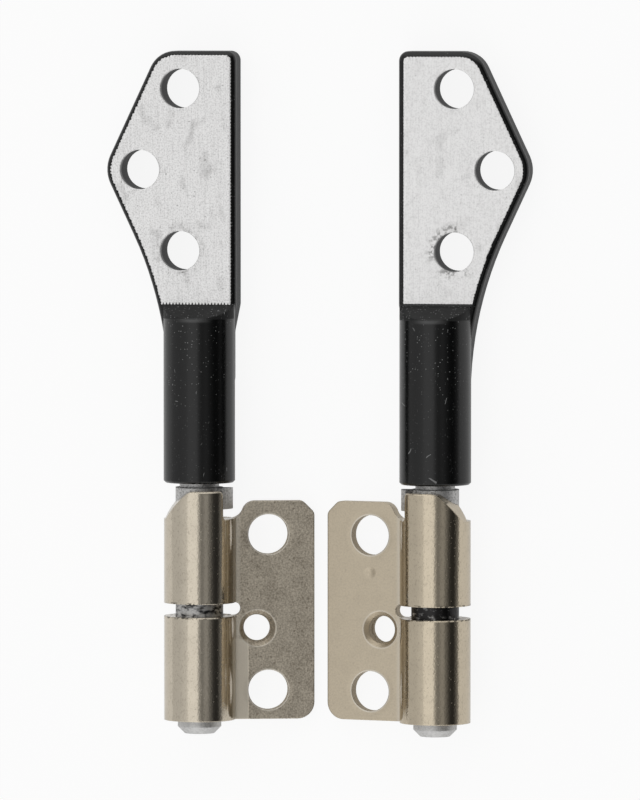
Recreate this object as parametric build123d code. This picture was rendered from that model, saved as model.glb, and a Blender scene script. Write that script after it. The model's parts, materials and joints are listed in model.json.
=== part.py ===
from build123d import *
from math import asin, atan2, cos, degrees, hypot, radians, sin, tan
import os

# A left and a right laptop hinge, lying fully open. Each is a sheet-metal bracket rolled tightly
# round a steel shaft, and a cast arm fixed on the upper end of that shaft. The arms lie on the backs
# of their plates, and each leaf droops until its far edge meets the same surface.
# Lengths are in millimetres, angles in degrees. A hinge is drawn as the left one, about its own
# axis: Y runs along the shaft from the arm's lower end, +X towards the leaf, +Z to the screw side.

# Pair
leaf_gap = 0.98

# Shaft
shaft_diameter = 3.5
running_clearance = 0.03
shaft_overhang = 1.0
shaft_end_diameter = 3.2
shaft_tip_diameter = 2.2
shaft_tip_taper = 0.5
shaft_end_inset = 0.25
neck_diameter = 2.9
neck_length = 0.35
shank_length = 9.0
shank_flats = 2.3
shank_chamfer = 0.3
lug_height = 0.75
lug_length = 1.55
lug_sweep = 37.0
lug_clearance = 0.75

# Bracket: the rolled barrel
sheet_thickness = 0.82
bend_radius = 0.15
bend_angle = 7.2
roll_end_angle = 338.0
arm_clearance = 0.56
tab_edge_angle = 53.0
tab_slant_start = 110.0
tab_slant_end = 166.0
tab_corner_radius = 0.35
tab_slant_radius = 0.8
notch_corner_radius = 0.3
stop_gap = 0.1
upper_wrap_length = 6.2
lower_wrap_length = 7.65
slot_width = 0.97
slot_reach = 2.56

# Bracket: the leaf
leaf_reach = 8.47
leaf_rise = 1.25
notch_reach = 2.3
ear_reach = 4.1
ear_corner_cut = 0.85
ear_corner_radius = 0.55
leaf_corner_radius = 1.25
leaf_hole_diameter = 2.95
leaf_hole_inset = 3.4
leaf_hole_top_margin = 2.45
leaf_hole_bottom_margin = 2.15
tapped_hole_diameter = 2.05
tapped_hole_inset = 4.2
tapped_hole_height = 6.7
countersink_diameter = 2.7
thread_collar_wall = 0.45
thread_collar_height = 0.6

# Arm
tube_diameter = 5.25
tube_end_chamfer = 0.15
arm_length = 31.65
face_level = 0.2
face_length = 18.6
face_edge_radius = 0.47
back_edge_chamfer = 0.5
shoulder_angle = 22.0
plate_proud = 0.05
plate_overhang = 0.1
plate_slope = 25.0
plate_corner_radius = 0.7
plate_shoulder_radius = 2.0
plate_sweep_radius = 28.0
plate_foot_inset = 0.3
plate_ease = 2.0
plate_flare_angle = 24.0
arm_hole_diameter = 2.9
arm_hole_offset = 1.4
arm_hole_margin = 2.75
arm_hole_spacing = 11.9
boss_hole_offset = 4.39
boss_wall = 1.05
socket_clearance = 0.01

# Radii across the hinge
shaft_radius = shaft_diameter / 2
neck_radius = neck_diameter / 2
tube_radius = tube_diameter / 2
barrel_inner_radius = shaft_radius + running_clearance
barrel_outer_radius = barrel_inner_radius + sheet_thickness
lug_radius = shaft_radius + lug_height
foot_side = tube_radius - plate_foot_inset

# Levels along the hinge axis
tab_top = -arm_clearance
collar_top = -neck_length
lug_bottom = collar_top - lug_length
barrel_top = lug_bottom - lug_clearance
slot_top = barrel_top - upper_wrap_length
slot_bottom = slot_top - slot_width
bracket_bottom = slot_bottom - lower_wrap_length
shaft_tip = bracket_bottom - shaft_overhang
leaf_top = barrel_top + leaf_rise
face_bottom = arm_length - face_length

# The bend lies against the barrel, so its centre fixes the leaf's height and where it starts.
bend_outer_radius = bend_radius + sheet_thickness
bend_centre_distance = barrel_outer_radius + bend_radius
bend_centre_x = bend_centre_distance * cos(radians(bend_angle))
bend_centre_z = bend_centre_distance * sin(radians(bend_angle))
leaf_face = bend_centre_z - bend_radius
leaf_back = leaf_face - sheet_thickness

# The pair lies on the backs of its two plates, with the origin under the middle of its length.
plate_back = -tube_radius - plate_proud
middle_y = (arm_length + shaft_tip) / 2

# The leaf's far lower edge comes down to the level of the plates' backs.
far_edge_radius = hypot(leaf_reach, leaf_back)
leaf_droop = degrees(asin(-plate_back / far_edge_radius) + atan2(leaf_back, leaf_reach))
drooped_reach = leaf_reach * cos(radians(leaf_droop)) + leaf_face * sin(radians(leaf_droop))
hinge_spacing = 2 * drooped_reach + leaf_gap

# How far cutting tools reach past what they cut
tool_reach = 2 * (leaf_reach + tube_diameter)


def ring_sector(centre_x, centre_z, inner, outer, start, sweep):
    """A piece of a flat ring, drawn across the hinge axis."""
    inside = CenterArc((centre_x, centre_z), inner, start, sweep)
    outside = CenterArc((centre_x, centre_z), outer, start, sweep)
    sides = [Line(inside @ 0, outside @ 0), Line(inside @ 1, outside @ 1)]
    return make_face([inside, outside, *sides])


def along_axis(section, low, high):
    """A section drawn across the hinge axis, pulled out from one level to another."""
    return extrude(Pos(0, low, 0) * (Plane.XZ * section), high - low, dir=(0, 1, 0))


def through_plan(outline, low, high):
    """An outline seen from the screw side, pulled out from one height to another."""
    return extrude(Pos(0, 0, low) * outline, high - low, dir=(0, 0, 1))


def upright_hole(x, y, diameter):
    """The cutting tool of a round hole across the hinge, open to both sides."""
    return through_plan(Pos(x, y) * Circle(diameter / 2), -tool_reach, tool_reach)


def barrel_tab():
    """The part of the rolled barrel that stands up past the stop lug, with its slanted shoulder."""
    tab = along_axis(
        ring_sector(0, 0, barrel_inner_radius, barrel_outer_radius, tab_edge_angle, 180 - tab_edge_angle),
        barrel_top,
        tab_top,
    )

    def slant_point(share):
        turn = radians(tab_slant_start + share * (tab_slant_end - tab_slant_start))
        return (barrel_outer_radius * cos(turn), tab_top + share * (barrel_top - tab_top))

    slant = ThreePointArc(slant_point(0), slant_point(0.5), slant_point(1))
    above = Polyline(
        slant @ 1,
        (-tool_reach, barrel_top),
        (-tool_reach, tool_reach),
        (slant_point(0)[0], tool_reach),
        slant @ 0,
    )
    return tab - through_plan(make_face([slant, above]), -tool_reach, tool_reach)


def leaf_outline():
    """The leaf and its bend seen from the screw side, with an ear beside the notch."""
    notch_end = Vector(notch_reach, barrel_top)
    ear_end = Vector(ear_reach, leaf_top)
    middle = (notch_end + ear_end) / 2
    rise = TangentArc(notch_end, middle, tangent=(1, 0))
    crest = TangentArc(middle, ear_end, tangent=rise % 1)
    edge = Polyline(
        ear_end,
        (leaf_reach - ear_corner_cut, leaf_top),
        (leaf_reach, leaf_top - ear_corner_cut),
        (leaf_reach, bracket_bottom),
        (0, bracket_bottom),
        (0, barrel_top),
        notch_end,
    )
    outline = make_face([rise, crest, edge])
    outer = outline.vertices().filter_by_position(Axis.X, leaf_reach - ear_corner_cut, leaf_reach)
    outer = outer.sort_by(Axis.Y)
    outline = fillet(outer[1:], ear_corner_radius)
    lowest = outline.vertices().group_by(Axis.Y)[0].sort_by(Axis.X)[-1]
    return fillet(lowest, leaf_corner_radius)


def leaf_side():
    """The flat leaf and the bend that joins it to the barrel."""
    section = ring_sector(
        bend_centre_x, bend_centre_z, bend_radius, bend_outer_radius, 180 + bend_angle, 90 - bend_angle
    )
    flat = Rectangle(leaf_reach - bend_centre_x, sheet_thickness, align=(Align.MIN, Align.MIN))
    section += Pos(bend_centre_x, leaf_back) * flat
    outline = through_plan(leaf_outline(), -tool_reach, tool_reach)
    return along_axis(section, bracket_bottom, leaf_top) & outline


def tapped_hole(x, y):
    """The cutting tool of the tapped hole, at its core size, with a countersunk mouth."""
    sink = (countersink_diameter - tapped_hole_diameter) / 2
    mouth = Cone(tapped_hole_diameter / 2, countersink_diameter / 2, sink)
    return upright_hole(x, y, tapped_hole_diameter) + Pos(x, y, leaf_face - sink / 2) * mouth


def bracket():
    """The stamped bracket: leaf, bend and a barrel rolled round the shaft in two wraps."""
    roll = ring_sector(
        0, 0, barrel_inner_radius, barrel_outer_radius, bend_angle, roll_end_angle - bend_angle
    )
    sheet = along_axis(roll, bracket_bottom, barrel_top) + barrel_tab() + leaf_side()
    sheet = fillet(sheet_corner(sheet, tab_edge_angle, tab_top), tab_corner_radius)
    sheet = fillet(sheet_corner(sheet, tab_slant_start, tab_top), tab_slant_radius)
    sheet = fillet(sheet_corner(sheet, tab_edge_angle, barrel_top), notch_corner_radius)

    slot_middle = (slot_top + slot_bottom) / 2
    slot = Pos(slot_reach - tool_reach / 2, slot_middle) * Rectangle(tool_reach, slot_width)
    slot += Pos(slot_reach, slot_middle) * Circle(slot_width / 2)
    sheet -= through_plan(slot, -tool_reach, tool_reach)

    hole_x = leaf_reach - leaf_hole_inset
    for hole_y in (leaf_top - leaf_hole_top_margin, bracket_bottom + leaf_hole_bottom_margin):
        sheet -= upright_hole(hole_x, hole_y, leaf_hole_diameter)

    tapped_x = leaf_reach - tapped_hole_inset
    tapped_y = bracket_bottom + tapped_hole_height
    collar = Pos(tapped_x, tapped_y) * Circle(tapped_hole_diameter / 2 + thread_collar_wall)
    sheet += through_plan(collar, leaf_back - thread_collar_height, leaf_face - sheet_thickness / 2)
    return sheet - tapped_hole(tapped_x, tapped_y)


def sheet_corner(sheet, angle, level):
    """The short edge across the rolled sheet where an outline turns a corner at an angle and a level."""
    middle_radius = (barrel_inner_radius + barrel_outer_radius) / 2
    turn = radians(angle)
    corner = Vector(middle_radius * cos(turn), level, middle_radius * sin(turn))
    return sheet.edges().sort_by_distance(corner)[:1]


def shaft():
    """The turned shaft: tapered end, running length, stop lug, neck and flatted shank."""
    end_level = bracket_bottom + shaft_end_inset
    step = shaft_radius - shaft_end_diameter / 2
    profile = Polyline(
        (0, shaft_tip),
        (shaft_tip_diameter / 2, shaft_tip),
        (shaft_end_diameter / 2, shaft_tip + shaft_tip_taper),
        (shaft_end_diameter / 2, end_level),
        (shaft_radius, end_level + step),
        (shaft_radius, collar_top),
        (neck_radius, collar_top),
        (neck_radius, shank_length - shank_chamfer),
        (neck_radius - shank_chamfer, shank_length),
        (0, shank_length),
        close=True,
    )
    turned = revolve(make_face(profile), Axis.Y)
    gap_angle = stop_gap / lug_radius / radians(1)
    lug_start = tab_edge_angle - leaf_droop - gap_angle - lug_sweep
    lug = ring_sector(0, 0, neck_radius, lug_radius, lug_start, lug_sweep)
    turned += along_axis(lug, lug_bottom, collar_top)
    for side in (-1, 1):
        flat = Pos(0, shank_length, side * (shank_flats + tool_reach) / 2)
        turned -= flat * Box(tool_reach, 2 * shank_length, tool_reach)
    return turned


def socket():
    """The cutting tool of the arm's keyed socket, a little larger than the shaft's shank."""
    round_tool = Circle(neck_radius + socket_clearance)
    key = round_tool & Rectangle(tool_reach, shank_flats + 2 * socket_clearance)
    return along_axis(key, -tool_reach, shank_length + socket_clearance)


def plate_outline():
    """The arm's plate seen from the screw side: a boss between two straight slopes, with its foot
    inside the tube."""
    slope_run = tan(radians(plate_slope))
    boss_radius = arm_hole_diameter / 2 + boss_wall
    boss_y = arm_length - arm_hole_margin - arm_hole_spacing / 2
    boss_corner_x = -boss_hole_offset - boss_radius / cos(radians(plate_slope))
    shoulder_x = boss_corner_x + (arm_length - boss_y) * slope_run
    sweep_y = boss_y - (-foot_side - boss_corner_x) / slope_run
    foot_y = sweep_y - plate_sweep_radius * tan(radians(plate_slope / 2))
    plate_edge = tube_radius + plate_overhang
    rounded = {
        (plate_edge, arm_length): plate_corner_radius,
        (shoulder_x, arm_length): plate_shoulder_radius,
        (boss_corner_x, boss_y): boss_radius,
        (-foot_side, sweep_y): plate_sweep_radius,
        (foot_side, face_bottom - plate_ease): plate_ease / 2,
        (plate_edge, face_bottom): plate_ease / 2,
    }
    corners = list(rounded)
    foot = [(-foot_side, foot_y - plate_ease), (foot_side, foot_y - plate_ease)]
    outline = make_face(Polyline(*corners[:4], *foot, *corners[4:], close=True))
    for corner, radius in rounded.items():
        vertex = outline.vertices().sort_by_distance(Vector(*corner))[0]
        outline = fillet(vertex, radius)
    return outline, boss_y, foot_y


def arm():
    """The cast arm: a tube round the shank, cut back to a plate with three screw holes."""
    outline, boss_y, foot_y = plate_outline()
    plate = through_plan(outline, plate_back, face_level)
    plate = fillet(plate.edges().group_by(Axis.Z)[-1], face_edge_radius)
    plate = chamfer(plate.edges().group_by(Axis.Z)[0], back_edge_chamfer)

    flare_slope = tan(radians(plate_flare_angle))
    flare_end = tube_radius + (arm_length - foot_y) * flare_slope
    flare = Polyline(
        (0, foot_y - tube_radius / flare_slope),
        (flare_end, arm_length),
        (flare_end, arm_length + tool_reach),
        (0, arm_length + tool_reach),
        close=True,
    )
    plate &= revolve(make_face(flare), Axis.Y)

    lean = tan(radians(shoulder_angle))
    tube = Polyline((0, 0), (tube_radius, 0), (tube_radius, arm_length), (0, arm_length), close=True)
    tube = revolve(make_face(tube), Axis.Y)
    tube = chamfer(tube.edges().group_by(Axis.Y)[0], tube_end_chamfer)
    beyond = Polyline(
        (face_bottom - lean * tool_reach, face_level + tool_reach),
        (face_bottom + lean * tool_reach, face_level - tool_reach),
        (arm_length + tool_reach, face_level - tool_reach),
        (arm_length + tool_reach, face_level + tool_reach),
        close=True,
    )
    tube -= extrude(Plane.YZ * make_face(beyond), tool_reach, both=True)

    cast = plate + tube - socket()
    top_hole_y = arm_length - arm_hole_margin
    for hole_y in (top_hole_y, top_hole_y - arm_hole_spacing):
        cast -= upright_hole(-arm_hole_offset, hole_y, arm_hole_diameter)
    return cast - upright_hole(-boss_hole_offset, boss_y, arm_hole_diameter)


os.makedirs("parts", exist_ok=True)
pieces = {"bracket": Rot(0, leaf_droop, 0) * bracket(), "shaft": shaft(), "arm": arm()}
left_place = Pos(-hinge_spacing / 2, -middle_y, -plate_back)
for piece_name, piece in pieces.items():
    left_piece = left_place * piece
    export_step(left_piece, f"parts/left_{piece_name}.step")
    export_step(mirror(left_piece, about=Plane.YZ), f"parts/right_{piece_name}.step")
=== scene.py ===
"""Finishes, threads, floor, light and view for a pair of laptop friction hinges."""

import json
from math import atan, atan2, cos, pi, radians, sin, tan

import bmesh
import bpy
from bpy.props import FloatProperty, FloatVectorProperty, IntProperty, PointerProperty
from mathutils import Matrix, Vector


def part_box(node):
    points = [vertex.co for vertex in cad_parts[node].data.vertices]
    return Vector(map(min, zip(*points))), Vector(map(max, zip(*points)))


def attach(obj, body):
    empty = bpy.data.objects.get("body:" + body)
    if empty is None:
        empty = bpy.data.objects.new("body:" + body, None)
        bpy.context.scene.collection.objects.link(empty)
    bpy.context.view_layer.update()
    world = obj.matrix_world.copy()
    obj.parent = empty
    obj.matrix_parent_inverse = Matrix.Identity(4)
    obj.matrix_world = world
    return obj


bl_info = {
    "name": "Laptop hinge pair",
    "version": (1, 0, 0),
    "blender": (4, 5, 0),
    "location": "View3D > Sidebar > Hinges",
    "description": "Dresses a pair of laptop friction hinges and sets the view on them",
    "category": "Object",
}

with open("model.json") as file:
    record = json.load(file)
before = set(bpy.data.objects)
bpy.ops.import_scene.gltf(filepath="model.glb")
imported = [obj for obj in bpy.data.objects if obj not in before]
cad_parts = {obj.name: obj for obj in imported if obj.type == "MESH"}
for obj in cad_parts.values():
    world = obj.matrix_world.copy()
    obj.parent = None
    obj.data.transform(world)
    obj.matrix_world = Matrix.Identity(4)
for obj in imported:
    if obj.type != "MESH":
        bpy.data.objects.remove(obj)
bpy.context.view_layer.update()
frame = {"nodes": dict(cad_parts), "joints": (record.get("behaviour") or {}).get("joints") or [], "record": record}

MM = 0.001
SIDES = ("left", "right")
MOUNTS = {mount["name"]: mount for mount in frame["record"]["mounts"]}
AXES = {joint["child"].split("_")[0]: Vector(joint["pos_m"]) for joint in frame["joints"]}
LEAF_SIGN = {"left": 1, "right": -1}
# Shifts the noise on the right hinge, so that each hinge has marks of its own
MARK_DRIFT = {"left": 0.0, "right": 23.7}
EDGE_SAMPLES = 6
FLOOR_ROUGHNESS = 0.9


def mount_point(name):
    """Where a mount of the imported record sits, in metres."""
    return Vector(MOUNTS[name]["pos_m"])


def mount_turn(name):
    """The turn that brings +Z to a mount's axis."""
    return Vector((0, 0, 1)).rotation_difference(Vector(MOUNTS[name]["axis"]))


def on_bracket(side, point):
    """A point in millimetres from the hinge axis, with the leaf laid flat and on the +X side."""
    flat = mount_turn(f"{side}_leaf_screws").inverted() @ (point - AXES[side]) / MM
    return Vector((LEAF_SIGN[side] * flat.x, flat.y, flat.z))


LEAF_DROOP = mount_turn("left_leaf_screws").angle


# Shader expressions


class Wire:
    """An output socket that can stand in an expression; each operation adds a Math node."""

    def __init__(self, finish, socket):
        self.finish = finish
        self.socket = socket

    def math(self, operation, first, second):
        """Adds a Math node on two wires or numbers."""
        return self.finish.node("ShaderNodeMath", {"operation": operation}, {0: first, 1: second})

    def __add__(self, other):
        return self.math("ADD", self, other)

    def __sub__(self, other):
        return self.math("SUBTRACT", self, other)

    def __rsub__(self, other):
        return self.math("SUBTRACT", other, self)

    def __mul__(self, other):
        return self.math("MULTIPLY", self, other)

    def __truediv__(self, other):
        return self.math("DIVIDE", self, other)

    def __pow__(self, other):
        return self.math("POWER", self, other)

    def __or__(self, other):
        return self.math("MAXIMUM", self, other)

    def __and__(self, other):
        return self.math("MINIMUM", self, other)

    def __abs__(self):
        return self.math("ABSOLUTE", self, 0.0)

    def zigzag(self, period):
        """Rises and falls once in each period, by half of it."""
        return self.math("PINGPONG", self, period / 2)

    __radd__ = __add__
    __rmul__ = __mul__


class Finish:
    """A node tree being made for a surface or the surroundings, and the one way to add its nodes."""

    def __init__(self, owner):
        owner.use_nodes = True
        self.owner = owner
        self.tree = owner.node_tree

    def node(self, kind, settings=None, sockets=None, out=0):
        """Adds a node, sets its settings first, then its sockets' values or links."""
        made = self.tree.nodes.new(kind)
        for name, value in (settings or {}).items():
            if name == "stops":
                self.set_stops(made.color_ramp, value)
            else:
                setattr(made, name, value)
        for name, value in (sockets or {}).items():
            self.plug(made.inputs[name], value)
        return Wire(self, made.outputs[out])

    def plug(self, target, value):
        """Links a wire to a socket, or sets the socket's own value."""
        if isinstance(value, Wire):
            self.tree.links.new(value.socket, target)
        else:
            target.default_value = value

    @staticmethod
    def set_stops(ramp, stops):
        """Gives a ramp its positions and colours."""
        while len(ramp.elements) < len(stops):
            ramp.elements.new(1.0)
        for element, (position, colour) in zip(ramp.elements, stops):
            element.position = position
            element.color = colour

    def fade(self, value, low, high):
        """0 below low, 1 above high, and a smooth step between."""
        return self.node(
            "ShaderNodeMapRange", {"interpolation_type": "SMOOTHSTEP"}, {0: value, 1: low, 2: high}
        )

    def band(self, value, low, high, soft):
        """1 between low and high, fading to 0 over a soft edge on either side."""
        return self.fade(value, low - soft, low + soft) * (1 - self.fade(value, high - soft, high + soft))

    def mix(self, factor, first, second):
        """A colour between two others."""
        colours = {0: factor, 6: first, 7: second}
        return self.node("ShaderNodeMix", {"data_type": "RGBA"}, colours, out=2)


class SurfaceFinish(Finish):
    """A metal or coat: one shader, with places in millimetres from one hinge's own axis."""

    def __init__(self, name, side, droop=0.0):
        super().__init__(bpy.data.materials.new(f"{side}_{name}"))
        self.drift = MARK_DRIFT[side]
        self.shader = self.tree.nodes["Principled BSDF"]
        spot = self.node("ShaderNodeTexCoord", out="Object")
        shift = self.node("ShaderNodeVectorMath", {"operation": "SUBTRACT"}, {0: spot, 1: AXES[side]})
        scale = (LEAF_SIGN[side] / MM, 1 / MM, 1 / MM)
        spot = self.node("ShaderNodeVectorMath", {"operation": "MULTIPLY"}, {0: shift, 1: scale})
        turn = {"Vector": spot, "Angle": -droop}
        self.spot = self.node("ShaderNodeVectorRotate", {"rotation_type": "Y_AXIS"}, turn)
        self.x, self.y, self.z = (
            self.node("ShaderNodeSeparateXYZ", sockets={0: self.spot}, out=letter) for letter in "XYZ"
        )

    def stretched(self, grain, seed):
        """The place measured in grains of a given size along each axis."""
        size = (1 / grain[0], 1 / grain[1], 1 / grain[2])
        seed = seed + self.drift
        place = self.node("ShaderNodeVectorMath", {"operation": "MULTIPLY"}, {0: self.spot, 1: size})
        return self.node("ShaderNodeVectorMath", {"operation": "ADD"}, {0: place, 1: (seed, seed, seed)})

    def noise(self, grain, seed=0.0, detail=3.0):
        """Cloudy noise from 0 to 1 with grains of a given size in millimetres."""
        sockets = {"Vector": self.stretched(grain, seed), "Scale": 1.0, "Detail": detail}
        return self.node("ShaderNodeTexNoise", sockets=sockets)

    def distance(self, x, y):
        """How far a place lies from a line that runs upright through a point."""
        return ((self.x - x) ** 2 + (self.y - y) ** 2) ** 0.5

    def specks(self, spacing, radius, share, seed=0.0):
        """Small round specks, one to a cell in a share of the cells; the radius is in cells."""
        cells = {"Vector": self.stretched((spacing, spacing, spacing), seed), "Scale": 1.0}
        distance = self.node("ShaderNodeTexVoronoi", sockets=cells)
        colour = self.node("ShaderNodeTexVoronoi", sockets=cells, out="Color")
        chosen = self.node("ShaderNodeSeparateColor", sockets={0: colour})
        kept = self.fade(chosen, 1 - share - 0.01, 1 - share + 0.01)
        return (1 - self.fade(distance, radius * 0.5, radius)) * kept

    def relief(self, height, edge):
        """A normal that rounds off sharp edges, with a height in millimetres laid over it."""
        rounded = self.node("ShaderNodeBevel", {"samples": EDGE_SAMPLES}, {"Radius": edge})
        sockets = {"Strength": 1.0, "Distance": MM, "Height": height, "Normal": rounded}
        return self.node("ShaderNodeBump", sockets=sockets)

    def dress(self, *objects, **sockets):
        """Sets the shader's sockets by name and puts the material on the objects."""
        for name, value in sockets.items():
            self.plug(self.shader.inputs[name.replace("_", " ")], value)
        for obj in objects:
            obj.data.materials.clear()
            obj.data.materials.append(self.owner)


def colour_property(name, description, default):
    """A colour setting."""
    return FloatVectorProperty(
        name=name, description=description, subtype="COLOR", size=3, min=0, max=1, default=default
    )


def factor_property(name, description, default):
    """A setting from 0 to 1."""
    return FloatProperty(name=name, description=description, subtype="FACTOR", min=0, max=1, default=default)


def length_property(name, description, default):
    """A length setting, kept in metres."""
    return FloatProperty(name=name, description=description, unit="LENGTH", precision=5, default=default)


def opaque(colour):
    """A colour with its alpha, as sockets take it."""
    return (*colour, 1.0)


# Settings


class NickelSettings(bpy.types.PropertyGroup):
    """The plated sheet of the two brackets."""

    left_plate: colour_property("Left plate", "Colour of the left bracket's nickel", (0.64, 0.575, 0.47))
    right_plate: colour_property("Right plate", "Colour of the right bracket's nickel", (0.62, 0.54, 0.415))
    stain: colour_property("Stain", "Colour of the duller mottling", (0.30, 0.26, 0.205))
    # Also the colour of a painted highlight in the bend from leaf to barrel
    rubbed_and_lit: colour_property("Rubbed", "Colour of rims and bands that tools rubbed bright", (0.74, 0.69, 0.60))
    # Colour of painted shade on the holes' walls and on the thread turns
    cut: colour_property("Cut wall", "Colour of the punched walls of the holes", (0.46, 0.40, 0.31))
    grease: colour_property("Grease", "Colour of old grease by the slot", (0.03, 0.027, 0.022))
    left_mottle: factor_property("Left mottling", "How mottled the left leaf is", 0.8)
    right_mottle: factor_property("Right mottling", "How mottled the right leaf is", 0.2)
    left_press: factor_property("Left band", "Strength of the pressed band by the left barrel", 1.0)
    right_press: factor_property("Right band", "Strength of the pressed band by the right barrel", 0.0)
    left_dent: factor_property("Left dent", "Depth of the small dent in the left leaf", 0.0)
    right_dent: factor_property("Right dent", "Depth of the small dent in the right leaf", 1.0)
    dent: FloatVectorProperty(
        name="Dent", description="Dent's place on the flat leaf and its radius", unit="LENGTH", size=3,
        precision=5, default=(5.07 * MM, -6.6 * MM, 0.5 * MM),
    )
    slot_height: length_property("Slot height", "Slot's middle above the bracket's lower end", 8.135 * MM)
    slot_width: length_property("Slot width", "Width of the slot between the two wraps", 0.97 * MM)
    bend_start: length_property("Bend start", "Where the leaf meets its bend, from the axis", 2.73 * MM)
    edge_break: length_property("Edge break", "Width of the rounding on the sheet's cut edges", 0.14 * MM)


class ShaftSettings(bpy.types.PropertyGroup):
    """The turned shafts."""

    steel: colour_property("Steel", "Colour of the turned steel", (0.64, 0.635, 0.625))
    # Also the colour of the dark mottling and of the painted shade by the arm
    dark: colour_property("Dark", "Colour of its greasy patches", (0.035, 0.034, 0.034))
    left_grease: factor_property("Left grease", "How greasy the left shaft is in the slot", 0.42)
    right_grease: factor_property("Right grease", "How greasy the right shaft is in the slot", 0.8)
    edge_break: length_property("Edge break", "Width of the rounding on the shaft's edges", 0.12 * MM)


class CoatSettings(bpy.types.PropertyGroup):
    """The black coat of the arms and their bare faces."""

    coat: colour_property("Coat", "Colour of the black coat", (0.002, 0.0022, 0.0022))
    # Also the colour of a painted highlight on the tubes' crests
    dust_and_sheen: colour_property("Dust", "Colour of dust and scratches on the coat", (0.45, 0.45, 0.45))
    bare: colour_property("Bare metal", "Colour of the ground screw face", (0.87, 0.865, 0.86))
    smudge: colour_property("Smudge", "Colour of smudges on the bare face", (0.24, 0.235, 0.23))
    left_smudge: factor_property("Left smudge", "Grime by the left arm's lower hole", 0.3)
    right_smudge: factor_property("Right smudge", "Grime by the right arm's lower hole", 0.95)
    left_wear: factor_property("Left wear", "How marked the left bare face is", 1.0)
    right_wear: factor_property("Right wear", "How marked the right bare face is", 0.55)
    left_teeth: factor_property("Left teeth", "How toothed the border of the left bare face is", 0.9)
    right_teeth: factor_property("Right teeth", "How toothed the border of the right bare face is", 0.2)
    left_scratch: factor_property("Left scratches", "How scratched the left tube is", 0.06)
    right_scratch: factor_property("Right scratches", "How scratched the right tube is", 0.18)
    bare_length: length_property("Bare length", "Bare face's length from the arm's upper end", 18.6 * MM)
    edge_break: length_property("Edge break", "Width of the rounding on the arm's edges", 0.14 * MM)
    tooth: length_property("Tooth", "Spacing of the grinder's teeth along the bare face's border", 0.24 * MM)


class ThreadSettings(bpy.types.PropertyGroup):
    """The thread in each leaf's small hole."""

    pitch: length_property("Pitch", "Distance from one turn to the next", 0.45 * MM)
    depth: length_property("Depth", "How far the turns stand out of the wall", 0.07 * MM)
    steps: IntProperty(name="Steps", description="Straight steps in one turn", min=12, default=48)


class StageSettings(bpy.types.PropertyGroup):
    """Floor, light and camera."""

    floor: colour_property("Floor", "Colour of the floor", (0.88, 0.88, 0.88))
    floor_glow: factor_property("Floor glow", "Share of plain white in the floor as it is seen", 0.9)
    floor_reflection: factor_property(
        "Floor reflection", "How far reflections see the floor's plain white", 0.5
    )
    floor_size: length_property("Floor size", "Width of the floor", 6.0)
    lamp_power: FloatProperty(name="Lamp", description="Power of the soft box", unit="POWER", default=0.85)
    lamp_size: FloatVectorProperty(
        name="Lamp size", description="Soft box across and along", unit="LENGTH", size=2, default=(0.6, 2.0)
    )
    lamp_place: FloatVectorProperty(
        name="Lamp place", description="Middle of the soft box", subtype="XYZ", size=3,
        default=(-0.22, 0, 0.97),
    )
    camera_distance: length_property("Distance", "Camera's distance from the pair", 0.6)
    camera_lean: FloatProperty(
        name="Lean", description="Camera's lean to the right", subtype="ANGLE", default=radians(9)
    )
    camera_rise: FloatProperty(
        name="Rise", description="Camera's lean to the arms' upper ends", subtype="ANGLE", default=radians(3)
    )
    picture_height: length_property("Picture height", "Height that the picture spans", 58.6 * MM)
    aim: FloatVectorProperty(
        name="Aim", description="Point that the camera looks at", unit="LENGTH", size=2, precision=5,
        default=(0.22 * MM, -0.48 * MM),
    )


class HingeSettings(bpy.types.PropertyGroup):
    """All that a user would change on the pair."""

    nickel: PointerProperty(type=NickelSettings)
    shaft: PointerProperty(type=ShaftSettings)
    coat: PointerProperty(type=CoatSettings)
    thread: PointerProperty(type=ThreadSettings)
    stage: PointerProperty(type=StageSettings)


# Finishes


def own(settings, side, name):
    """A setting that each of the two hinges has of its own."""
    return getattr(settings, f"{side}_{name}")


def axis_level(side, y):
    """A height in metres as millimetres along a hinge axis, from the arm's lower end."""
    return (y - AXES[side].y) / MM


def slot_level(side, height):
    """The middle of a bracket's slot, in millimetres along the axis."""
    return axis_level(side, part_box(f"{side}_bracket")[0].y + height)


def leaf_holes(side):
    """The middles of a leaf's two screw holes on the flat leaf, and their radius, in millimetres."""
    name = f"{side}_leaf_screws"
    middle = on_bracket(side, mount_point(name))
    sizes = MOUNTS[name]["dims"]
    return [(middle.x, middle.y + end * sizes["pcd_mm"] / 2) for end in (1, -1)], sizes["hole_r_mm"]


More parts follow.
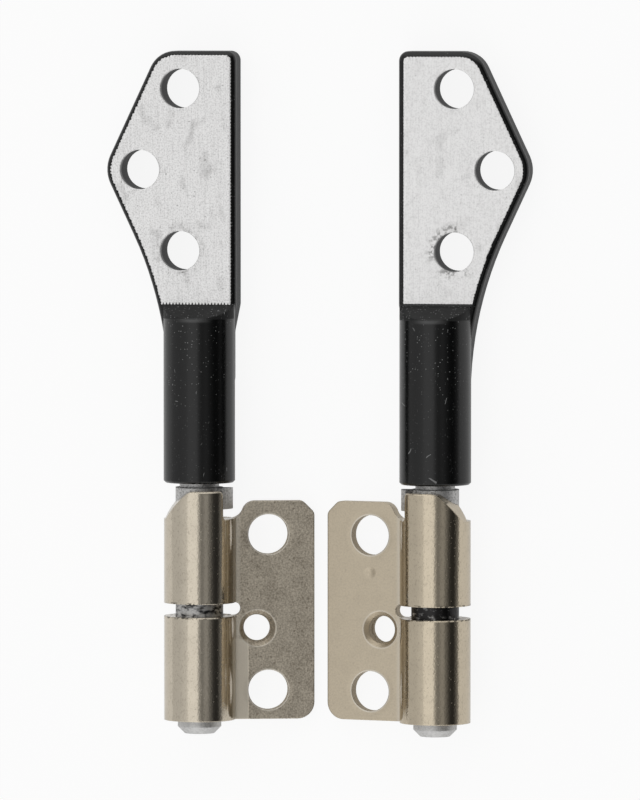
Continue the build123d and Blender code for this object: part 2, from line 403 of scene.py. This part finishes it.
def nickel_finish(side, settings):
    """Nickel-plated sheet: mottled on the leaf, rolled bright on the barrel, marked by its tools, with a painted
    highlight in the bend.
    """
    finish = SurfaceFinish("nickel", side, LEAF_DROOP)
    slot_y = slot_level(side, settings.slot_height)
    bottom = slot_y - settings.slot_height / MM
    top = axis_level(side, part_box(f"{side}_bracket")[1].y)
    bend = settings.bend_start / MM
    leaf = finish.fade(finish.x, bend - 0.25, bend + 0.1)
    mottle = own(settings, side, "mottle")

    by_barrel = finish.band(finish.x, bend - 0.3, bend + 0.85, 0.05)
    by_end = 1 - finish.fade(finish.y, bottom + 5.85, bottom + 5.95)
    pressed = by_barrel * by_end * own(settings, side, "press")
    holes, radius = leaf_holes(side)
    hole = finish.distance(*holes[0]) & finish.distance(*holes[1])
    rim = 1 - finish.fade(hole, radius + 0.08, radius + 0.12)
    dish = finish.fade(hole, radius, radius + 0.45)
    thread = on_bracket(side, mount_point(f"{side}_leaf_thread"))
    core = MOUNTS[f"{side}_leaf_thread"]["dims"]["r_mm"]
    bore = finish.distance(thread.x, thread.y)
    mouth = finish.band(bore, core + 0.3, core + 0.4, 0.04)
    dent_x, dent_y, dent_radius = (size / MM for size in settings.dent)
    dent = 1 - finish.fade(finish.distance(dent_x, dent_y), 0.1 * dent_radius, dent_radius)
    dent = dent * own(settings, side, "dent")

    cloud = finish.fade(finish.noise((1.2, 1.2, 1.2), 3.1), 0.4, 0.68)
    grain = finish.fade(finish.noise((0.13, 0.13, 0.13), 7.7, 4.0), 0.34, 0.68)
    rolled = finish.fade(finish.noise((0.14, 0.22, 0.14), 1.3, 3.0), 0.5, 0.72)
    pits = finish.specks(0.34, 0.3, 0.35, 2.4)
    dots = finish.specks(0.24, 0.27, 0.45, 5.1) * (1 - leaf)
    plain = leaf * (1 - pressed)
    # Painted highlight in the bend from leaf to barrel; the bend is also made rougher here
    bend_highlight = finish.band(finish.x, bend - 0.35, bend + 0.2, 0.15)
    leaf_stain = (cloud * 0.3 + grain * 0.8 + pits * 0.6) * plain * mottle
    barrel_stain = (rolled * 0.3 + cloud * 0.1) * (1 - leaf)
    stained = leaf_stain + barrel_stain + dots * 0.12
    plate = own(settings, side, "plate")
    colour = finish.mix(stained & 1.0, opaque(plate), opaque(settings.stain))
    # Lighter rims round the holes and the countersink, the pressed band by the barrel, and the painted highlight
    # in the bend
    rubbed_and_lit = rim * 0.8 + pressed * 0.5 + mouth * 0.6 + bend_highlight * 0.7
    colour = finish.mix(rubbed_and_lit & 1.0, colour, opaque(settings.rubbed_and_lit))

    half_slot = settings.slot_width / MM / 2
    by_slot = 1 - finish.fade(abs(abs(finish.y - slot_y) - half_slot), 0.04, 0.18)
    chips = by_slot * finish.fade(finish.noise((0.3, 0.2, 0.3), 5.2), 0.52, 0.58) * (1 - leaf)
    colour = finish.mix(chips * 0.8, colour, opaque(settings.grease))
    # Painted shade: darkens the walls of the punched and tapped holes, which are also made rougher
    punched = 1 - finish.fade(hole, radius, radius + 0.015)
    tapped = 1 - finish.fade(bore, core, core + 0.015)
    wall = punched | tapped
    colour = finish.mix(wall, colour, opaque(settings.cut))

    rough = 0.09 + 0.34 * leaf + 0.3 * dots + 0.08 * mottle * grain * plain + 0.14 * pressed
    rough = rough + 0.05 * rolled + 0.2 * bend_highlight + 0.2 * chips + 0.2 * wall
    waves = finish.noise((0.14, 0.2, 0.14), 9.0, 3.0) * (0.007 + (0.022 * mottle - 0.006) * plain)
    lip = slot_y - half_slot
    tab_edge = finish.fade(finish.y, top - 0.14, top)
    lip_edge = finish.fade(finish.y, lip - 0.1, lip) * (1 - finish.fade(finish.y, slot_y, slot_y + 0.01))
    sheared = tab_edge | lip_edge
    height = waves + dish * 0.02 - dent * 0.09 - pits * plain * (0.004 * mottle) - pressed * 0.01
    height = height - sheared * (1 - leaf) * 0.08
    normal = finish.relief(height, settings.edge_break)
    finish.dress(Base_Color=colour, Metallic=1.0, Roughness=rough, Normal=normal)
    return finish


def shaft_finish(side, settings, slot_y):
    """Smooth matt steel, smeared with old grease where the bracket's slot lays it open, mottled dark, with painted
    shade thickening the mottling towards the arm.
    """
    finish = SurfaceFinish("shaft_steel", side)
    share = own(settings, side, "grease")
    in_slot = 1 - finish.fade(abs(finish.y - slot_y), 0.6, 0.8)
    smear = finish.fade(finish.noise((0.5, 0.3, 0.5), 4.0), 0.6 - 0.5 * share, 0.86 - 0.5 * share)
    greasy = in_slot * smear
    # Dark mottling all over, thickened towards the arm as painted shade
    shade_by_arm = finish.fade(finish.y, -2.4, -0.4)
    mottle_and_shade = finish.fade(finish.noise((0.16, 0.16, 0.16), 2.2, 4.0), 0.4, 0.75) * (0.2 + 0.35 * shade_by_arm)
    colour = finish.mix(greasy | mottle_and_shade, opaque(settings.steel), opaque(settings.dark))
    rough = 0.52 + 0.08 * mottle_and_shade - 0.2 * greasy
    turned = finish.noise((3.0, 0.07, 3.0), 6.0) * 0.0008
    wavy = finish.noise((0.5, 0.2, 0.5), 4.0) * in_slot * 0.03
    normal = finish.relief(turned + wavy, settings.edge_break)
    finish.dress(Base_Color=colour, Metallic=1.0, Roughness=rough, Normal=normal)
    return finish


def arm_finish(side, settings):
    """Satin black coat with dust, scratches and a painted highlight on the tube's crest, ground off to bare metal
    on the screw face.
    """
    finish = SurfaceFinish("black_coat", side)
    top = axis_level(side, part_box(f"{side}_arm")[1].y)
    screws = (mount_point(f"{side}_arm_screws") - AXES[side]) / MM
    low_hole = screws.y - MOUNTS[f"{side}_arm_screws"]["dims"]["spacing_y_mm"] / 2
    tooth = settings.tooth / MM
    comb = finish.x.zigzag(tooth) + finish.y.zigzag(tooth)
    ragged = 2 * comb / tooth + finish.noise((0.3, 0.3, 0.3), 2.0, 1.0) * 0.6 - 0.15
    ragged = ragged * own(settings, side, "teeth")
    level = finish.fade(finish.z + ragged * 0.02, screws.z - 0.001, screws.z)
    level = level * (1 - finish.fade(finish.z, screws.z + 0.003, screws.z + 0.006))
    foot = top - settings.bare_length / MM
    ground = level * finish.fade(finish.y + ragged * 0.1, foot + 0.16, foot + 0.19)

    streaks = finish.fade(finish.noise((0.07, 2.2, 0.4), 3.3, 4.0), 0.42, 0.75)
    fine = finish.fade(finish.noise((0.1, 0.12, 0.1), 5.9, 4.0), 0.4, 0.72)
    blotch = finish.fade(finish.noise((1.2, 1.6, 1.2), 8.0), 0.54, 0.76)
    specks = finish.specks(0.42, 0.2, 0.2, 1.7)
    grime = finish.fade(finish.noise((0.3, 0.3, 0.3), 6.1, 4.0), 0.42, 0.64)
    hole_x = LEAF_SIGN[side] * screws.x
    by_hole = 1 - finish.fade(finish.distance(hole_x, low_hole), 1.5, 2.3)
    above = finish.fade(finish.x - hole_x + finish.y - low_hole, 0.3, 1.8)
    below = finish.fade(low_hole - finish.y, 1.0, 1.6)
    by_hole = by_hole * (above | below)
    smudged = by_hole * grime * own(settings, side, "smudge")
    marks = streaks * 0.17 + fine * 0.3 + blotch * 0.3 + specks * 0.4
    worn = marks * own(settings, side, "wear") + smudged
    bare = finish.mix(worn & 1.0, opaque(settings.bare), opaque(settings.smudge))

    upper = finish.fade(finish.y, 4.0, 9.0)
    shelf = finish.fade(finish.y, foot - 1.05, foot - 0.95) * finish.fade(finish.z, screws.z, screws.z + 0.03)
    settled = finish.fade(finish.noise((1.3, 2.0, 1.3), 2.7), 0.42, 0.6)
    thick = 0.05 + 0.4 * settled * (0.2 + 0.8 * upper) + 0.35 * shelf
    dust_and_sheen = finish.specks(0.17, 0.3, 0.3, 4.4) * thick * finish.fade(finish.z, -0.8, 0.8)
    curl = 1 - finish.fade(abs(finish.noise((1.9, 1.9, 1.9), 7.3, 0.0) - 0.5), 0.0, 0.016)
    strand = finish.fade(finish.noise((0.9, 1.2, 0.9), 3.6, 0.0), 0.71, 0.74)
    fibre = curl * strand * 0.5 * finish.fade(finish.z, 0.5, 1.5)
    # Painted highlight on the tube's crest below the shelf's lip, in the dust's colour
    crest_highlight = finish.band(finish.y, foot - 1.2, foot - 0.95, 0.1) * (1 - finish.fade(abs(finish.x), 0.3, 1.5))
    crest_highlight = crest_highlight * finish.fade(finish.z, 1.6, 2.2)
    dust_and_sheen = dust_and_sheen | fibre | crest_highlight * 0.14
    scratch = finish.fade(finish.noise((0.05, 0.9, 0.05), 5.5, 3.0), 0.7, 0.78)
    scratch = scratch * own(settings, side, "scratch")
    coat = finish.mix(dust_and_sheen | scratch, opaque(settings.coat), opaque(settings.dust_and_sheen))
    colour = finish.mix(ground, coat, bare)

    peel = finish.noise((0.2, 0.2, 0.2), 9.1)
    low = 1 - finish.fade(finish.z, screws.z - 0.7, screws.z - 0.2)
    coat_rough = 0.17 + 0.1 * peel + 0.2 * dust_and_sheen + 0.45 * shelf + 0.3 * low
    bare_rough = 0.36 + 0.1 * fine
    rough = coat_rough + (bare_rough - coat_rough) * ground
    height = peel * (1 - ground) * 0.002 + (streaks + fine) * ground * 0.0008 + ground * 0.004
    normal = finish.relief(height, settings.edge_break)
    finish.dress(
        Base_Color=colour, Metallic=ground, Roughness=rough, Normal=normal, Specular_IOR_Level=0.45
    )
    return finish


# Operators


class HINGE_OT_brackets(bpy.types.Operator):
    """Plates the two brackets with nickel"""

    bl_idname = "hinge.brackets"
    bl_label = "Dress the brackets"

    def execute(self, context):
        settings = context.scene.hinge_settings.nickel
        for side in SIDES:
            bracket = frame["nodes"][f"{side}_bracket"]
            nickel_finish(side, settings).dress(bracket)
        return {"FINISHED"}


class HINGE_OT_shafts(bpy.types.Operator):
    """Gives the two shafts their turned steel"""

    bl_idname = "hinge.shafts"
    bl_label = "Dress the shafts"

    def execute(self, context):
        settings = context.scene.hinge_settings
        for side in SIDES:
            shaft = frame["nodes"][f"{side}_shaft"]
            slot_y = slot_level(side, settings.nickel.slot_height)
            shaft_finish(side, settings.shaft, slot_y).dress(shaft)
        return {"FINISHED"}


class HINGE_OT_arms(bpy.types.Operator):
    """Coats the two arms and grinds their screw faces bare"""

    bl_idname = "hinge.arms"
    bl_label = "Dress the arms"

    def execute(self, context):
        settings = context.scene.hinge_settings.coat
        for side in SIDES:
            arm = frame["nodes"][f"{side}_arm"]
            arm_finish(side, settings).dress(arm)
        return {"FINISHED"}


def thread_mesh(name, centre, turn, radius, length, settings):
    """A ridge that climbs the wall of a tapped hole in a helix, thinning out at both ends."""
    turns = length / settings.pitch - 1
    count = int(turns * settings.steps)
    buried = 0.25 * settings.depth
    half_foot = 0.42 * settings.pitch
    half_crest = 0.08 * settings.pitch
    low = settings.pitch / 2 - length / 2
    sections = []
    mesh = bmesh.new()
    for step in range(count + 1):
        share = step / count
        full = min(1.0, 6 * share, 6 * (1 - share))
        angle = 2 * pi * turns * share
        height = low + settings.pitch * turns * share
        profile = (
            (radius + buried, -half_foot),
            (radius - settings.depth * full, -half_crest),
            (radius - settings.depth * full, half_crest),
            (radius + buried, half_foot),
        )
        sections.append([
            mesh.verts.new(centre + turn @ Vector((r * cos(angle), r * sin(angle), height + rise)))
            for r, rise in profile
        ])
    for first, second in zip(sections, sections[1:]):
        for a in range(4):
            b = (a + 1) % 4
            mesh.faces.new((first[a], first[b], second[b], second[a]))
    mesh.faces.new(sections[0])
    mesh.faces.new(reversed(sections[-1]))
    bmesh.ops.recalc_face_normals(mesh, faces=mesh.faces)
    data = bpy.data.meshes.new(name)
    mesh.to_mesh(data)
    mesh.free()
    return data


class HINGE_OT_threads(bpy.types.Operator):
    """Cuts the thread turns in each leaf's small hole"""

    bl_idname = "hinge.threads"
    bl_label = "Make the threads"

    def execute(self, context):
        settings = context.scene.hinge_settings
        for side in SIDES:
            hole = f"{side}_leaf_thread"
            sizes = (MOUNTS[hole]["dims"][size] * MM for size in ("r_mm", "length_mm"))
            name = f"{side}_leaf_thread_turns"
            data = thread_mesh(name, mount_point(hole), mount_turn(hole), *sizes, settings.thread)
            turns = bpy.data.objects.new(name, data)
            context.scene.collection.objects.link(turns)
            data.materials.append(frame["nodes"][f"{side}_bracket"].data.materials[0])
            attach(turns, "brackets")
        return {"FINISHED"}


# Stage


def floor_finish(settings):
    """A pale floor that shows white, with a faint shadow, to the camera and in reflections."""
    finish = Finish(bpy.data.materials.new("pale_floor"))
    shader = finish.tree.nodes["Principled BSDF"]
    finish.plug(shader.inputs["Base Color"], opaque(settings.floor))
    finish.plug(shader.inputs["Roughness"], FLOOR_ROUGHNESS)
    painted = Wire(finish, shader.outputs[0])
    camera, glossy, through = (
        finish.node("ShaderNodeLightPath", out=f"Is {ray} Ray")
        for ray in ("Camera", "Glossy", "Transmission")
    )
    seen = camera | (glossy | through) * settings.floor_reflection
    rest = 1 - settings.floor_glow
    shaded = finish.node("ShaderNodeBsdfDiffuse", sockets={"Color": opaque((rest, rest, rest))})
    white = finish.node("ShaderNodeEmission", sockets={"Strength": settings.floor_glow})
    shown = finish.node("ShaderNodeAddShader", sockets={0: shaded, 1: white})
    surface = finish.node("ShaderNodeMixShader", sockets={0: seen, 1: painted, 2: shown})
    finish.plug(finish.tree.nodes["Material Output"].inputs["Surface"], surface)
    return finish.owner


# Brightness of the surroundings by degrees from straight up, counted to the right
WALLS = {
    -180: 0.62,
    -58: 0.62,
    -28: 0.78,
    2: 0.78,
    9: 0.42,
    15: 0.24,
    20: 0.23,
    27: 0.33,
    35: 0.33,
    41: 0.2,
    47: 0.14,
    54: 0.055,
    62: 0.03,
    72: 0.03,
    85: 0.19,
    96: 0.55,
    180: 0.62,
}
# Colour of the surroundings at both ends of the hinge axes
END_WALLS = (1.2, 1.2, 1.2, 1)


def studio_walls(world):
    """Surroundings that run along the hinge axes: bright overhead, paler left, dark at the right."""
    finish = Finish(world)
    heading = finish.node("ShaderNodeTexCoord", out="Generated")
    across, along, up = (
        finish.node("ShaderNodeSeparateXYZ", sockets={0: heading}, out=axis) for axis in "XYZ"
    )
    turn = across.math("ARCTAN2", across, up) / (2 * pi) + 0.5
    stops = [(angle / 360 + 0.5, (level, level, level, 1)) for angle, level in WALLS.items()]
    walls = finish.node("ShaderNodeValToRGB", {"stops": stops}, {0: turn})
    ends = finish.fade(abs(along), 0.55, 0.85)
    background = finish.tree.nodes["Background"]
    finish.plug(background.inputs["Color"], finish.mix(ends, walls, END_WALLS))


def lay_floor(context, settings):
    """One flat square that the pair lies on."""
    half = settings.floor_size / 2
    data = bpy.data.meshes.new("floor")
    corners = [(-half, -half, 0), (half, -half, 0), (half, half, 0), (-half, half, 0)]
    data.from_pydata(corners, [], [(0, 1, 2, 3)])
    data.materials.append(floor_finish(settings))
    floor = bpy.data.objects.new("floor", data)
    context.scene.collection.objects.link(floor)


def light_room(context, settings):
    """Surroundings, and a soft box that faces the pair."""
    context.scene.world = bpy.data.worlds.new("studio")
    studio_walls(context.scene.world)
    lamp = bpy.data.lights.new("soft_box", "AREA")
    lamp.shape = "RECTANGLE"
    lamp.size, lamp.size_y = settings.lamp_size
    lamp.energy = settings.lamp_power
    box = bpy.data.objects.new("soft_box", lamp)
    box.location = settings.lamp_place
    box.rotation_euler.y = atan2(box.location.x, box.location.z)
    context.scene.collection.objects.link(box)


def point_camera(context, settings):
    """A far camera that looks down on the pair with a small lean."""
    lens = bpy.data.cameras.new("camera")
    lens.sensor_fit = "VERTICAL"
    lens.angle = 2 * atan(settings.picture_height / 2 / settings.camera_distance)
    lens.clip_start = settings.camera_distance / 20
    camera = bpy.data.objects.new("camera", lens)
    aim = Vector((*settings.aim, AXES["left"].z))
    toward = Vector((tan(settings.camera_lean), tan(settings.camera_rise), 1.0)).normalized()
    across = Vector((0, 1, 0)).cross(toward).normalized()
    turned = Matrix((across, toward.cross(across), toward)).transposed()
    camera.matrix_world = Matrix.Translation(aim + toward * settings.camera_distance) @ turned.to_4x4()
    context.scene.collection.objects.link(camera)
    context.scene.camera = camera


class HINGE_OT_stage(bpy.types.Operator):
    """Lays the floor, sets the light and points the camera"""

    bl_idname = "hinge.stage"
    bl_label = "Set the stage"

    def execute(self, context):
        settings = context.scene.hinge_settings.stage
        lay_floor(context, settings)
        light_room(context, settings)
        point_camera(context, settings)
        context.scene.view_settings.view_transform = "Standard"
        return {"FINISHED"}


OPERATORS = (HINGE_OT_brackets, HINGE_OT_shafts, HINGE_OT_arms, HINGE_OT_threads, HINGE_OT_stage)


class HINGE_PT_panel(bpy.types.Panel):
    """Lists the steps that dress the pair"""

    bl_label = "Hinges"
    bl_idname = "HINGE_PT_panel"
    bl_space_type = "VIEW_3D"
    bl_region_type = "UI"
    bl_category = "Hinges"

    def draw(self, context):
        settings = context.scene.hinge_settings
        for operator in OPERATORS:
            self.layout.operator(operator.bl_idname)
        for group in (settings.nickel, settings.shaft, settings.coat, settings.thread, settings.stage):
            box = self.layout.box()
            # The first two are Blender's own
            for name in group.bl_rna.properties.keys()[2:]:
                box.prop(group, name)


CLASSES = (
    NickelSettings,
    ShaftSettings,
    CoatSettings,
    ThreadSettings,
    StageSettings,
    HingeSettings,
    *OPERATORS,
    HINGE_PT_panel,
)


def register():
    for cls in CLASSES:
        bpy.utils.register_class(cls)
    bpy.types.Scene.hinge_settings = PointerProperty(type=HingeSettings)


def unregister():
    del bpy.types.Scene.hinge_settings
    for cls in reversed(CLASSES):
        bpy.utils.unregister_class(cls)


def main():
    register()
    bpy.ops.hinge.brackets()
    bpy.ops.hinge.shafts()
    bpy.ops.hinge.arms()
    bpy.ops.hinge.threads()
    bpy.ops.hinge.stage()


if __name__ == "__main__":
    main()
